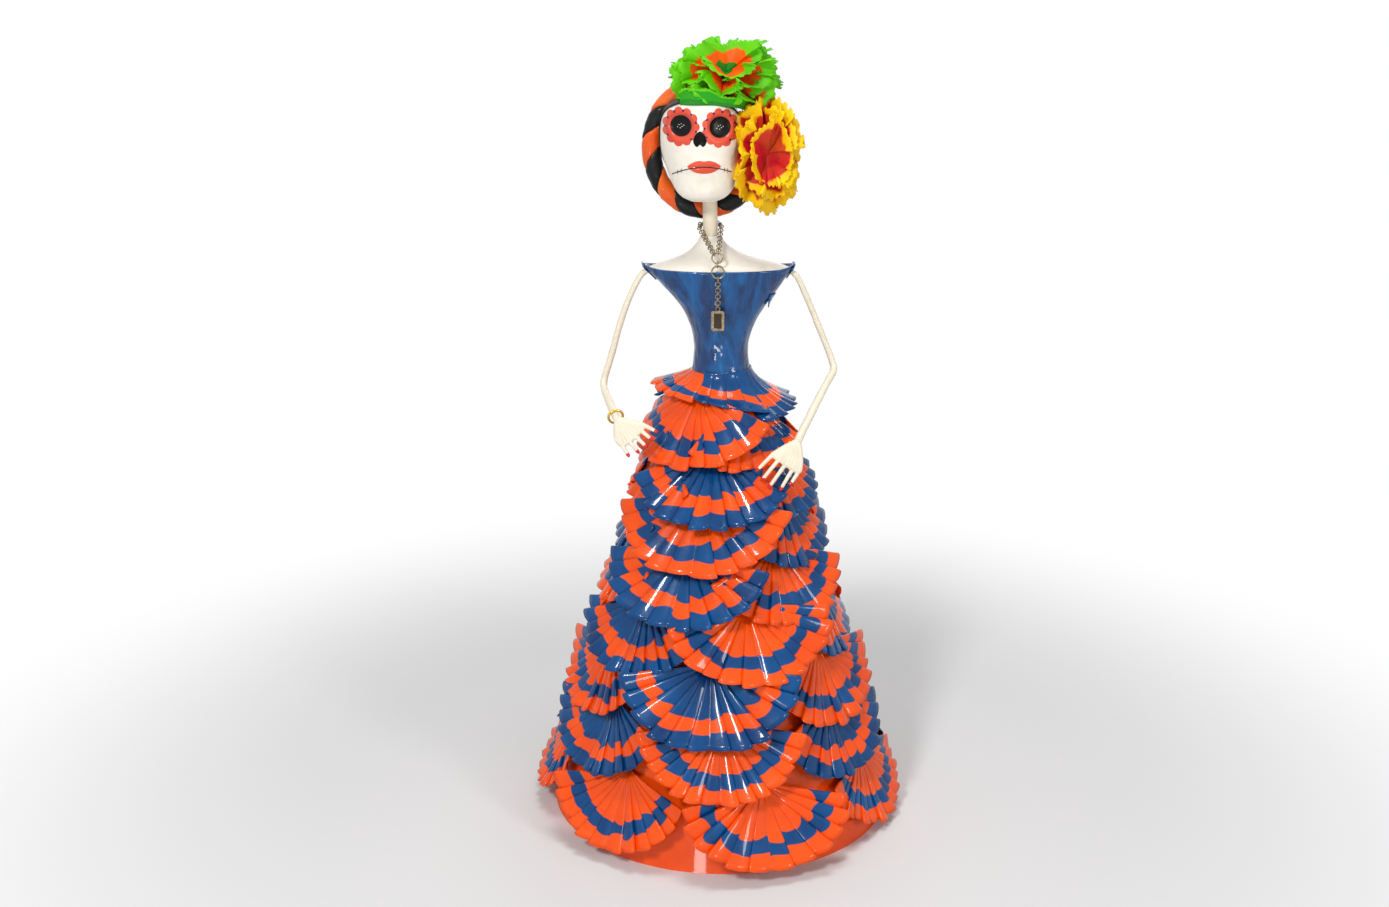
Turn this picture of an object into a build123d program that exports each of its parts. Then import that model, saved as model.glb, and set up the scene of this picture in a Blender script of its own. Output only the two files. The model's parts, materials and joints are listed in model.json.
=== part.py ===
from build123d import *

import os
from math import asin, atan, atan2, cos, hypot, pi, radians, sin

# Papier-mache catrina figure. Millimetres, +Z up, -Y is the front of the figure and +X its left.
# The origin is the centre of the round base, on the surface that it stands on.

# ---- skirt: a glued paper cone on a card disc ----
base_radius = 136.0
skirt_taper = 0.3246            # radius lost for each millimetre of height
skirt_height = 346.0
skirt_wall = 2.4
disc_thickness = 3.0
glue_gap = 0.3

# ---- skirt fans: pleated half rounds of glued paper, in tiers ----
fan_reach = 60.0                # gathered end to pleated rim
fan_paper = 1.5
fan_rise = 0.25                 # how far a fan stands off the cone for each millimetre of its reach
fan_fold = 2.6                  # half depth of the folds at the rim
fan_folds = 8
fan_widest = 52.0               # half spread in degrees, less where neighbours leave less room
fan_side_gap = 2.5
fan_closest = 0.55              # share of the reach at which neighbouring fans come closest

# Each tier: height of the gathered ends, how many fans, turn of the one nearest the front in
# degrees, and their colours going round from that one.
fan_tiers = [
    (334.0, 6, -34.0, "OOBOBB"),
    (302.0, 6, -20.0, "BBOBOO"),
    (268.0, 5, -17.0, "OBOBB"),
    (230.0, 6, -23.0, "BOBOBO"),
    (190.0, 6, -47.0, "BOBOBO"),
    (149.0, 6, -6.0, "BOBOBO"),
    (108.0, 7, -1.0, "OBOBOBB"),
    (62.0, 7, 14.0, "OOBOBOO"),
]
back_limit = 96.0               # fans turned further round than this are grouped in the back nodes
top_back_limit = 80.0           # the same for the top tier, on the figure's left

# ---- bodice and bust: sections as height, half width, half depth, sideways shift ----
bodice_wall = 1.5
open_end = 0.01                 # how far the inside runs past the rims, so that both ends open
bodice_sections = [
    (346.0, 23.7, 23.7, 0.0),
    (362.0, 20.8, 19.5, -1.2),
    (376.0, 21.0, 19.6, -1.2),
    (390.0, 24.6, 20.6, -0.6),
    (405.0, 32.5, 22.0, 0.0),
    (420.0, 45.0, 23.6, -1.0),
    (433.0, 55.3, 25.0, -3.3),
]
bust_bottom = 405.0
bust_dome_sections = [
    (433.0, 53.5, 23.2, -3.3),
    (438.0, 37.0, 19.5, -5.0),
    (446.0, 17.0, 12.0, -8.0),
    (457.0, 7.4, 7.4, -9.6),
]

# ---- spine and neck ----
dowel_radius = 3.9
spine_top = (-10.5, 0.0, 500.0)
neck_radius = 5.5
neck_bottom = 440.0
neck_top = 503.0
fit_gap = 0.15
cut_extra = 2.0                 # how far a cutting shape runs past the face that it opens
big_box = 200.0                 # wider than the body and the head, for cutting them in two

# ---- head: sections as height, half width, half depth, forward shift ----
head_shift = -17.2
skull_wall = 3.0
widest_section = 4              # row of the table at the cheeks
skull_sections = [
    (484.0, 13.0, 8.0, 17.0),
    (490.0, 19.5, 14.0, 13.5),
    (500.0, 24.5, 21.0, 8.5),
    (512.0, 27.5, 26.5, 4.0),
    (527.0, 29.3, 30.5, 1.5),
    (540.0, 27.5, 30.5, 1.0),
    (552.0, 20.5, 24.5, 1.0),
    (560.0, 11.0, 14.0, 1.0),
]
eye_radius = 8.2
eye_sink = 2.6
eye_splay = 0.1                 # how far the sockets open sideways, as a share of their offset
eye_centres = [(-32.0, 540.0), (-3.2, 539.0)]
nose_centre = (-17.6, 530.0)
nose_radius = 4.6
hair_thickness = 1.5
hair_front = -6.0
hair_bottom = 494.0

# ---- braid ring round the head ----
braid_radius = 5.4
braid_centre = (-13.5, neck_radius + braid_radius + glue_gap, 520.5)
braid_half_width = 42.5
braid_half_height = 47.5
braid_strips = 18
braid_start = 137.0
braid_end = 372.0

# ---- flowers: pleated rosettes on short stems ----
petal_paper = 1.2
stem_radius = 2.6
green_seat = (2.0, -2.0, 564.5)
green_facing = (0.05, -0.62, 0.78)
green_half_width = 43.0
green_half_height = 30.0
yellow_seat = (29.0, -10.0, 516.0)
yellow_facing = (0.3, -0.95, 0.03)
yellow_half_width = 27.0
yellow_half_height = 40.0
petal_folds = 14
petal_fold = 2.6
rosette_cup = 11.0
inner_share = 0.62              # size of the inner rosette against the outer one
inner_cup = 17.0
green_stem_foot = (head_shift + 8, -2.0, 545.0)
yellow_stem_foot = (head_shift + 10, -6.0, 520.0)

# ---- arms: steel wire wound with paper ----
wire_radius = 1.0
wire_gap = 0.1
upper_arm_radius = 2.3
elbow_radius = 2.5
wrist_radius = 3.0
bend_swell = 0.06               # how much a ball at a bend is fuller than the limb beside it
right_arm_path = [(-50.0, 0.0, 427.5), (-63.0, 0.0, 423.5), (-78.0, 2.0, 389.5), (-85.5, 4.0, 363.0),
                  (-92.0, 4.0, 341.0), (-78.5, -46.0, 326.5)]
left_arm_path = [(44.0, 0.0, 427.5), (57.0, 0.0, 423.0), (67.0, 1.0, 402.0), (76.5, 2.0, 380.0),
                 (85.0, 2.0, 357.5), (55.0, -47.0, 309.8)]
hand_wire = 9.0                 # how far the wire runs into the hand

# ---- hands: palm from wrist to knuckles, then fingers ----
palm_thickness = 5.0
finger_radius = 1.7
thumb_middle_radius = 2.1
right_knuckles = [(-62.5, -51.5, 321.0), (-64.0, -51.5, 317.2), (-66.5, -51.5, 313.4), (-70.0, -51.5, 310.0)]
right_fingertips = [(-50.0, -55.0, 320.5), (-52.5, -55.0, 315.0), (-56.0, -55.0, 309.5), (-62.0, -55.0, 304.5)]
right_thumb = [(-77.0, -50.0, 314.0), (-73.0, -53.0, 303.0)]
left_knuckles = [(37.5, -57.0, 302.0), (40.5, -57.0, 299.5), (44.0, -57.0, 297.0), (48.0, -57.0, 295.0)]
left_fingertips = [(26.0, -61.0, 291.0), (29.5, -61.0, 285.0), (35.0, -61.0, 279.0), (42.0, -61.0, 278.0)]
left_thumb = [(54.0, -55.0, 296.0), (52.0, -58.0, 282.0)]

# ---- bangle, loose on the right wrist ----
bangle_wire = 0.95
bangle_inner = 4.5
bangle_from_wrist = 7.5

# ---- necklace ----
link_radius = 1.7
link_wire = 0.4
link_play = 0.3
lower_ring = (-4.3, -28.6, 434.0)
lower_ring_radius = 4.6
upper_ring_radius = 3.9
upper_ring_lean = 26.0          # the upper ring lies back on the bust, degrees from upright
ring_wire = 0.6
strand_height = 464.0
strand_clearance = 1.0          # between the strands and the neck
# Where each strand goes behind and beside the neck: turn from the back in degrees, and drop.
strand_turns = [(14.0, -1.6), (38.0, -1.2), (62.0, -0.7), (86.0, 0.0), (106.0, 1.4)]
strand_seats = {-1: 40.0, 1: 12.0}  # where each strand meets the upper ring, degrees from its top
joining_ring_radius = 2.35
joining_gap = (-0.5, 1.0, 2.0)  # from the top of the lower ring to the foot of the upper ring
hanging_ring_radius = 2.6
hanging_ring_wire = 0.5
drop_links = 8
pendant_width = 9.6
pendant_height = 15.0
pendant_thickness = 2.4
pendant_frame_width = 1.9
pendant_corner = 1.5
inset_thickness = 1.0
bail_radius = 1.6

# ---- peplum: pleated paper round the waist ----
peplum_top = 351.0
peplum_paper = 1.3
peplum_fold = 2.2
peplum_pleat_angle = 11.0
# Each piece: name, first and last turn in degrees, height of the hem, radius of the hem.
peplum_pieces = [
    ("peplum_front", [(-26.0, 44.0)], 324.0, 47.0),
    ("peplum_right", [(48.0, 106.0)], 330.0, 52.0),
    ("peplum_left", [(-100.0, -30.0)], 334.0, 54.0),
    ("peplum_back", [(110.0, 180.0), (184.0, 256.0)], 328.0, 50.0),
]

slope = atan(skirt_taper)
cone_peak = base_radius / skirt_taper


def write(name, solids):
    """Write one node; several separate solids may share it."""
    solids = [piece for shape in solids for piece in shape.solids()]
    node = solids[0] if len(solids) == 1 else Compound(children=solids)
    node.label = name
    export_step(node, f"parts/{name}.step")


# ---------------------------------------------------------------- shared shapes

def polygon(*corners):
    return Face(Wire.make_polygon(corners))


def folded_sheet(top, rim, shift):
    """Pleated paper between a top edge and a zigzag rim, thickened along shift.

    The top is a row of points as long as the rim, or one point where the pleats are gathered.
    """
    gathered = len(top) == 1
    upper = top * len(rim) if gathered else top
    faces = [
        polygon(upper[0], rim[0], rim[0] + shift, upper[0] + shift),
        polygon(upper[-1], rim[-1], rim[-1] + shift, upper[-1] + shift),
    ]
    for a, b, c, d in zip(upper, upper[1:], rim, rim[1:]):
        faces.append(polygon(a, c, d))
        faces.append(polygon(a + shift, c + shift, d + shift))
        faces.append(polygon(c, d, d + shift, c + shift))
        if not gathered:
            faces.append(polygon(a, d, b))
            faces.append(polygon(a + shift, d + shift, b + shift))
            faces.append(polygon(a, b, b + shift, a + shift))
    return Solid(Shell(faces))


def rosette(seat, facing, half_width, half_height, cup):
    """Pleated paper all round one gathered point, opening along facing like a shallow cup."""
    plane = Plane(origin=seat, x_dir=(1, 0, 0.0), z_dir=facing)
    shift = plane.z_dir * petal_paper
    rim = []
    for step in range(2 * petal_folds):
        angle = pi * step / petal_folds
        depth = cup + petal_fold * (1 if step % 2 else -1)
        rim.append(plane.from_local_coords((half_width * cos(angle), half_height * sin(angle), depth)))
    faces = []
    gathered = plane.origin
    for a, b in zip(rim, rim[1:] + rim[:1]):
        faces.append(polygon(gathered, a, b))
        faces.append(polygon(gathered + shift, a + shift, b + shift))
        faces.append(polygon(a, b, b + shift, a + shift))
    return Solid(Shell(faces))


def rod(start, end, start_radius, end_radius=None):
    """Round rod or taper between two points."""
    start = Vector(start)
    along = Vector(end) - start
    plane = Plane(origin=start, z_dir=along)
    if end_radius is None or end_radius == start_radius:
        shape = Cylinder(start_radius, along.length, align=(Align.CENTER, Align.CENTER, Align.MIN))
    else:
        shape = Cone(start_radius, end_radius, along.length, align=(Align.CENTER, Align.CENTER, Align.MIN))
    return plane * shape


def limb(path, radii):
    """Tapered rods through a row of points, with a ball at each bend and at the end."""
    shape = rod(path[0], path[1], radii[0], radii[1])
    for start, end, first, last in zip(path[1:], path[2:], radii[1:], radii[2:]):
        shape += Pos(*start) * Sphere(first + bend_swell)
        shape += rod(start, end, first, last)
    return shape + Pos(*path[-1]) * Sphere(radii[-1] + bend_swell)


def oval_stack(sections, grow=0.0, rise=0.0, forward=False):
    """Smooth solid through oval sections; grow widens all of them and rise lengthens both ends."""
    ovals = []
    for index, (height, half_width, half_depth, shift) in enumerate(sections):
        if index == 0:
            height -= rise
        if index == len(sections) - 1:
            height += rise
        centre = (head_shift, -shift, height) if forward else (shift, 0, height)
        ovals.append(Plane(origin=centre) * Ellipse(half_width + grow, half_depth + grow))
    return loft(ovals)


def ring(centre, facing, radius, wire):
    return Plane(origin=centre, z_dir=facing) * Torus(radius, wire)


# ---------------------------------------------------------------- skirt

def cone_radius(height):
    return base_radius - skirt_taper * height


def make_base_disc():
    radius = cone_radius(disc_thickness) - skirt_wall - glue_gap
    return Cylinder(radius, disc_thickness, align=(Align.CENTER, Align.CENTER, Align.MIN))


def make_skirt_cone():
    base = (Align.CENTER, Align.CENTER, Align.MIN)
    outside = Cone(base_radius, cone_radius(skirt_height), skirt_height, align=base)
    inside = Cone(base_radius - skirt_wall, cone_radius(skirt_height) - skirt_wall, skirt_height, align=base)
    return outside - inside


def skirt_point(fan_height, fan_turn, reach, spread, lift):
    """Point of a fan, measured on the cone rolled flat: reach from its gathered end, spread off centre."""
    start = (cone_peak - fan_height) / cos(slope)
    sideways = reach * sin(spread)
    down = start + reach * cos(spread)
    from_peak = hypot(sideways, down)
    turn = radians(fan_turn) + atan2(sideways, down) / sin(slope)
    radius = from_peak * sin(slope) + lift * cos(slope)
    height = cone_peak - from_peak * cos(slope) + lift * sin(slope)
    return Vector(radius * sin(turn), -radius * cos(turn), height)


def fan_spread(fan_height, count):
    """Half spread that leaves a gap to the next fan of the tier."""
    start = (cone_peak - fan_height) / cos(slope)
    flat_pitch = 2 * pi * sin(slope) / count
    room = (start + fan_closest * fan_reach) * sin(flat_pitch / 2) - fan_side_gap
    return min(radians(fan_widest), asin(min(room / fan_reach, 1.0)))


def make_fan(fan_height, fan_turn, count):
    turn = radians(fan_turn)
    shift = Vector(sin(turn) * cos(slope), -cos(turn) * cos(slope), sin(slope)) * -fan_paper
    spread = fan_spread(fan_height, count)
    lift = glue_gap + fan_paper
    rim = []
    for step in range(2 * fan_folds + 1):
        angle = spread * (step / fan_folds - 1)
        fold = fan_fold * (1 if step % 2 else -1)
        rim.append(skirt_point(fan_height, fan_turn, fan_reach, angle, lift + fan_rise * fan_reach + fold))
    return folded_sheet([skirt_point(fan_height, fan_turn, 0, 0, lift)], rim, shift)


def side_name(turn):
    """Where a fan sits, as seen by someone facing the figure."""
    for limit, name in ((-70, "far_left"), (-30, "front_left"), (30, "front"), (60, "front_right")):
        if turn <= limit:
            return name
    return "far_right"


def write_fans():
    back = {"O": [], "B": []}
    for number, (height, count, first_turn, colours) in enumerate(fan_tiers, start=1):
        for index, colour in enumerate(colours):
            turn = (first_turn + index * 360 / count + 180) % 360 - 180
            fan = make_fan(height, turn, count)
            if abs(turn) > back_limit or (turn > top_back_limit and number == 1):
                back[colour].append(fan)
            else:
                write(f"fan_tier{number}_{side_name(turn)}", [fan])
    write("back_fans_orange", back["O"])
    write("back_fans_blue", back["B"])


# ---------------------------------------------------------------- bodice, bust, spine

def bodice_outside(grow=0.0, rise=0.0):
    return oval_stack(bodice_sections, grow, rise)


def spine_point(height):
    share = height / spine_top[2]
    return (spine_top[0] * share, spine_top[1] * share, height)


def make_bodice(arm_holes):
    shell = bodice_outside() - bodice_outside(-bodice_wall, open_end)
    return shell - arm_holes


def make_bust(arm_holes):
    upper_half = Box(big_box, big_box, big_box, align=(Align.CENTER, Align.CENTER, Align.MIN))
    keep = Pos(0, 0, bust_bottom) * upper_half
    plug = bodice_outside(-bodice_wall - glue_gap) & keep
    bust = plug + oval_stack(bust_dome_sections)
    bust -= rod(spine_point(bust_bottom - cut_extra), spine_point(neck_bottom), dowel_radius + fit_gap)
    bust -= rod(spine_point(neck_bottom), spine_point(neck_top), neck_radius + fit_gap)
    return bust - arm_holes


def make_neck():
    outside = rod(spine_point(neck_bottom), spine_point(neck_top), neck_radius)
    low, high = spine_point(neck_bottom - cut_extra), spine_point(neck_top + cut_extra)
    return outside - rod(low, high, dowel_radius + fit_gap)


def make_spine_dowel():
    return rod(spine_point(disc_thickness + glue_gap), spine_top, dowel_radius)


# ---------------------------------------------------------------- head

def skull_outside(grow=0.0, rise=0.0):
    return oval_stack(skull_sections, grow, rise, forward=True)


def make_skull():
    skull = skull_outside() - skull_outside(-skull_wall, -skull_wall)
    _, half_width, half_depth, _ = skull_sections[widest_section]
    front = -half_depth
    for x, z in eye_centres:
        side = x - head_shift
        depth = front * (1 - (side / half_width) ** 2) ** 0.5
        skull -= Pos(x + eye_splay * side, depth - eye_radius + eye_sink, z) * Sphere(eye_radius)
    skull -= Pos(nose_centre[0], front - nose_radius + skull_wall / 2, nose_centre[1]) * Sphere(nose_radius)
    return skull - rod(spine_point(neck_bottom), spine_point(neck_top + cut_extra), neck_radius + fit_gap)


def make_hair_cap():
    cap = skull_outside(glue_gap + hair_thickness, hair_thickness) - skull_outside(glue_gap, glue_gap)
    cap = cap & Pos(head_shift, hair_front, hair_bottom) * Box(big_box, big_box, big_box,
                                                               align=(Align.CENTER, Align.MIN, Align.MIN))
    return cap - rod(spine_point(neck_bottom), spine_point(neck_top + cut_extra), neck_radius + glue_gap)


def braid_plane(angle):
    """Plane across the ring at an angle round it."""
    x, y, z = braid_centre
    centre = (x + braid_half_width * cos(angle), y, z + braid_half_height * sin(angle))
    along = (-braid_half_width * sin(angle), 0, braid_half_height * cos(angle))
    return Plane(origin=centre, x_dir=(0, 1, 0), z_dir=along)


def make_braid_strips():
    """Twisted strips round the ring, black and orange in turn, meeting face to face."""
    strips = []
    pitch = radians(braid_end - braid_start) / braid_strips
    for index in range(braid_strips):
        start = radians(braid_start) + index * pitch
        cuts = [braid_plane(start + share * pitch) * Circle(braid_radius) for share in (0, 0.5, 1)]
        strips.append(loft(cuts))
    return strips[0::2], strips[1::2]


def write_flower(name, seat, facing, half_width, half_height, stem_foot):
    """Outer rosette with its stem down to the head, and an inner rosette seated in it."""
    outer = rosette(seat, facing, half_width, half_height, rosette_cup)
    axis = Vector(facing).normalized()
    stem = rod(stem_foot, Vector(seat) + axis * petal_paper * 0.5, stem_radius)
    stem -= skull_outside(2 * glue_gap + hair_thickness, 2 * glue_gap + hair_thickness)
    outer = outer + max(stem.solids(), key=lambda piece: (piece.center() - Vector(stem_foot)).length)
    seat_inner = Vector(seat) + axis * (petal_paper * 1.5 + glue_gap)
    inner = rosette(seat_inner, facing, half_width * inner_share, half_height * inner_share, inner_cup)
    write(f"{name}_outer", [outer])
    write(f"{name}_inner", [inner])


# ---------------------------------------------------------------- arms and hands

def arm_radii(path, extra=0.0):
    """Radii along an arm: thin above the elbow and thicker to the wrist."""
    upper = [upper_arm_radius + extra] * (len(path) - 2)
    return upper + [elbow_radius + extra, wrist_radius + extra]


def arm_wire(path, radius):
    forearm = Vector(path[-1]) - Vector(path[-2])
    end = Vector(path[-1]) + forearm.normalized() * hand_wire
    points = [Vector(point) for point in path[:-1]] + [end]
    return limb([tuple(point) for point in points], [radius] * len(points))


def make_arm(path):
    arm = limb(path, arm_radii(path)) - arm_wire(path, wire_radius + wire_gap)
    arm -= bodice_outside(glue_gap)
    return max(arm.solids(), key=lambda piece: piece.volume)


def make_hand(path, knuckles, fingertips, thumb):
    """Flat palm from wrist to knuckles, four fingers and a thumb."""
    wrist = Vector(path[-1])
    hand = Pos(*wrist) * Sphere(wrist_radius)
    for knuckle, tip in zip(knuckles, fingertips):
        palm_radius = palm_thickness / 2
        hand += limb([tuple(wrist), knuckle], [wrist_radius, palm_radius])
        hand += limb([knuckle, tip], [palm_radius, finger_radius])
    hand += limb([tuple(wrist)] + thumb, [wrist_radius, thumb_middle_radius, finger_radius])
    hand -= limb(path, arm_radii(path, glue_gap))
    hand -= arm_wire(path, wire_radius + wire_gap)
    return max(hand.solids(), key=lambda piece: piece.volume)


def make_bangle():
    """Ring round the wrist, hanging so that its top just clears the arm."""
    wrist = Vector(right_arm_path[-1])
    forearm = (Vector(right_arm_path[-2]) - wrist).normalized()
    hang = (Vector(0, 0, -1) + forearm * forearm.Z).normalized()
    centre = wrist + forearm * bangle_from_wrist + hang * (bangle_inner - wrist_radius - glue_gap)
    return ring(centre, forearm, bangle_inner + bangle_wire, bangle_wire)


# ---------------------------------------------------------------- necklace

def chain(path, last_facing):
    """Round links along a path, each turned a quarter from the last, which faces as given."""
    spacing_limit = 2 * link_radius - 2 * link_wire - link_play
    lengths = [(Vector(b) - Vector(a)).length for a, b in zip(path, path[1:])]
    count = int(sum(lengths) / spacing_limit) + 1
    spacing = sum(lengths) / count
    links = []
    for index in range(count + 1):
        distance = index * spacing
        leg = 0
        while leg < len(lengths) - 1 and distance > lengths[leg]:
            distance -= lengths[leg]
            leg += 1
        start = Vector(path[leg])
        along = (Vector(path[leg + 1]) - start).normalized()
        across = (last_facing - along * along.dot(last_facing)).normalized()
        facing = along.cross(across) if (count - index) % 2 else across
        links.append(ring(start + along * distance, facing, link_radius, link_wire))
    return links


lean = radians(upper_ring_lean)
upper_ring_up = Vector(0, sin(lean), cos(lean))
lower_ring_top = Vector(*lower_ring) + Vector(0, 0, lower_ring_radius)
upper_ring_foot = lower_ring_top + Vector(*joining_gap)
upper_ring = upper_ring_foot + upper_ring_up * upper_ring_radius


def make_necklace_strand(side):
    """One strand from the back of the neck, round it, and down to the upper ring."""
    x, y, z = spine_point(strand_height)
    around = neck_radius + link_radius + strand_clearance
    angle = pi / 2 - side * radians(strand_seats[side])
    outward = Vector(cos(angle), 0, 0) + upper_ring_up * sin(angle)
    tangent = Vector(-sin(angle), 0, 0) + upper_ring_up * cos(angle)
    reach = upper_ring_radius + link_radius - link_wire - ring_wire - link_play / 2
    path = []
    for turn, drop in strand_turns:
        turn = radians(turn)
        path.append((x + side * around * sin(turn), y + around * cos(turn), z - drop))
    return chain(path + [tuple(upper_ring + outward * reach)], tangent)


def make_necklace_rings():
    upper_facing = upper_ring_up.cross(Vector(1, 0, 0))
    return [
        ring(upper_ring, upper_facing, upper_ring_radius, ring_wire),
        ring(lower_ring, (0, 1, 0), lower_ring_radius, ring_wire),
        ring((lower_ring_top + upper_ring_foot) / 2, (1, 0, 0), joining_ring_radius, link_wire),
    ]


hang_x = lower_ring[0]
hang_y = lower_ring[1]
drop_pivot = lower_ring[2] - lower_ring_radius
hanging_ring_z = drop_pivot + ring_wire + hanging_ring_wire + link_play - hanging_ring_radius
chain_pivot = hanging_ring_z - hanging_ring_radius
first_link_z = chain_pivot + hanging_ring_wire + link_wire + link_play - link_radius
link_step = 2 * link_radius - 2 * link_wire - link_play
last_link_z = first_link_z - (drop_links - 1) * link_step
pendant_pivot = last_link_z - link_radius
bail_z = pendant_pivot + 2 * link_wire + link_play - bail_radius
pendant_top = bail_z - bail_radius + link_wire / 2


def make_drop_chain():
    links = []
    for index in range(drop_links):
        facing = (1, 0, 0) if index % 2 else (0, 1, 0)
        links.append(ring((hang_x, hang_y, first_link_z - index * link_step), facing, link_radius, link_wire))
    return links


def make_pendant():
    middle = pendant_top - pendant_height / 2
    window_width = pendant_width - 2 * pendant_frame_width
    window_height = pendant_height - 2 * pendant_frame_width
    frame = Box(pendant_width, pendant_thickness, pendant_height)
    frame = fillet(frame.edges().filter_by(Axis.Y), pendant_corner)
    frame -= Box(window_width, pendant_thickness * 2, window_height)
    frame = Pos(hang_x, hang_y, middle) * frame
    bail_facing = (0, 1, 0) if drop_links % 2 == 0 else (1, 0, 0)
    frame += ring((hang_x, hang_y, bail_z), bail_facing, bail_radius, link_wire)
    inset = Box(window_width - 2 * fit_gap, inset_thickness, window_height - 2 * fit_gap)
    return frame, Pos(hang_x, hang_y, middle) * inset


# ---------------------------------------------------------------- peplum

def make_peplum_piece(first, last, hem_height, hem_radius):
    middle = radians((first + last) / 2)
    shift = Vector(sin(middle), -cos(middle), 0) * -peplum_paper
    steps = 2 * round((last - first) / peplum_pleat_angle)
    lower, upper = bodice_sections[:2]
    share = (peplum_top - lower[0]) / (upper[0] - lower[0])
    half_width, half_depth, shift_x = [a + (b - a) * share for a, b in zip(lower[1:], upper[1:])]
    room = glue_gap + peplum_paper / cos(radians(last - first) / 2)
    top, rim = [], []
    for step in range(steps + 1):
        turn = radians(first + (last - first) * step / steps)
        fold = peplum_fold * (1 if step % 2 else -1)
        waist_x, waist_y = (half_width + room) * sin(turn), -(half_depth + room) * cos(turn)
        top.append(Vector(shift_x + waist_x, waist_y, peplum_top))
        radius = hem_radius + fold
        rim.append(Vector(radius * sin(turn), -radius * cos(turn), hem_height))
    return folded_sheet(top, rim, shift)


# ---------------------------------------------------------------- all the nodes

def main():
    os.makedirs("parts", exist_ok=True)
    hole_radius = wire_radius + wire_gap
    arm_holes = arm_wire(right_arm_path, hole_radius) + arm_wire(left_arm_path, hole_radius)

    write("base_disc", [make_base_disc()])
    write("skirt_cone", [make_skirt_cone()])
    write("spine_dowel", [make_spine_dowel()])
    write("bodice", [make_bodice(arm_holes)])
    write("bust", [make_bust(arm_holes)])
    write("neck", [make_neck()])
    write("skull", [make_skull()])
    write("hair_cap", [make_hair_cap()])
    black, orange = make_braid_strips()
    write("braid_black", black)
    write("braid_orange", orange)

    write_flower("green_flower", green_seat, green_facing, green_half_width, green_half_height,
                 green_stem_foot)
    write_flower("yellow_flower", yellow_seat, yellow_facing, yellow_half_width, yellow_half_height,
                 yellow_stem_foot)

    write("right_arm", [make_arm(right_arm_path)])
    write("left_arm", [make_arm(left_arm_path)])
    write("right_arm_wire", [arm_wire(right_arm_path, wire_radius)])
    write("left_arm_wire", [arm_wire(left_arm_path, wire_radius)])
    write("right_hand", [make_hand(right_arm_path, right_knuckles, right_fingertips, right_thumb)])
    write("left_hand", [make_hand(left_arm_path, left_knuckles, left_fingertips, left_thumb)])
    write("bangle", [make_bangle()])

    write("necklace_right", make_necklace_strand(-1))
    write("necklace_left", make_necklace_strand(1))
    write("necklace_rings", make_necklace_rings())
    write("hanging_ring", [ring((hang_x, hang_y, hanging_ring_z), (1, 0, 0),
                                hanging_ring_radius, hanging_ring_wire)])
    write("drop_chain", make_drop_chain())
    pendant_frame, pendant_inset = make_pendant()
    write("pendant_frame", [pendant_frame])
    write("pendant_inset", [pendant_inset])

    for name, spans, hem_height, hem_radius in peplum_pieces:
        write(name, [make_peplum_piece(first, last, hem_height, hem_radius) for first, last in spans])
    write_fans()


main()
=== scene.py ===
import json
import random
from math import atan, atan2, copysign, cos, exp, hypot, pi, radians, sin

import bpy
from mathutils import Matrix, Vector, noise
from mathutils.bvhtree import BVHTree


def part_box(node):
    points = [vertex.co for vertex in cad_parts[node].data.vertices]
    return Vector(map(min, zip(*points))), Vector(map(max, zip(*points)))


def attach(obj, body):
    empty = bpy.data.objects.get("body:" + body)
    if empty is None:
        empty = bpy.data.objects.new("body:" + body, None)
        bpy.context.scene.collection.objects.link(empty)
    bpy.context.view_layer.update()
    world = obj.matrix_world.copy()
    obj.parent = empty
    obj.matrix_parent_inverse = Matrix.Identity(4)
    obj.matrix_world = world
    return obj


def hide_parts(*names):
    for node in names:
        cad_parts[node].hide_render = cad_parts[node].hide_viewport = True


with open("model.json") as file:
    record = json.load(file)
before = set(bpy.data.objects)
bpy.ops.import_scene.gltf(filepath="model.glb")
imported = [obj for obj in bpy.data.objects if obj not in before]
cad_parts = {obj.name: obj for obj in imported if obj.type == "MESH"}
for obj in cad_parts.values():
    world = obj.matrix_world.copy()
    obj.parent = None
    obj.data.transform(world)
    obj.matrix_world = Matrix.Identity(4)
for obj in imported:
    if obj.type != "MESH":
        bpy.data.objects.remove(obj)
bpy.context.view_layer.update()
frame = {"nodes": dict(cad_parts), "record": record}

# Papier-mache catrina figure. Lengths are written in millimetres and scaled by MM.
MM = 0.001
FIGURE = "figure"

# Without a seed, noise.noise_vector, which crumples the petals, would follow the clock.
noise.seed_set(1795198993)

# ---- colours

ORANGE = (0.95, 0.095, 0.002)
DEEP_ORANGE = (0.78, 0.065, 0.004)
BLUE = (0.0, 0.072, 0.245)
DEEP_BLUE = (0.0, 0.024, 0.11)
CREAM = (0.88, 0.83, 0.73)
TAN = (0.55, 0.42, 0.26)
BLACK = (0.008, 0.008, 0.009)
CORAL = (0.80, 0.11, 0.06)
GREEN = (0.13, 0.62, 0.004)
DARK_GREEN = (0.008, 0.20, 0.012)
YELLOW = (0.98, 0.60, 0.002)
CRIMSON = (0.50, 0.008, 0.02)
GOLD = (0.85, 0.58, 0.12)
BRONZE = (0.36, 0.28, 0.16)
VIOLET = (0.10, 0.008, 0.12)


# ---- materials

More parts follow.
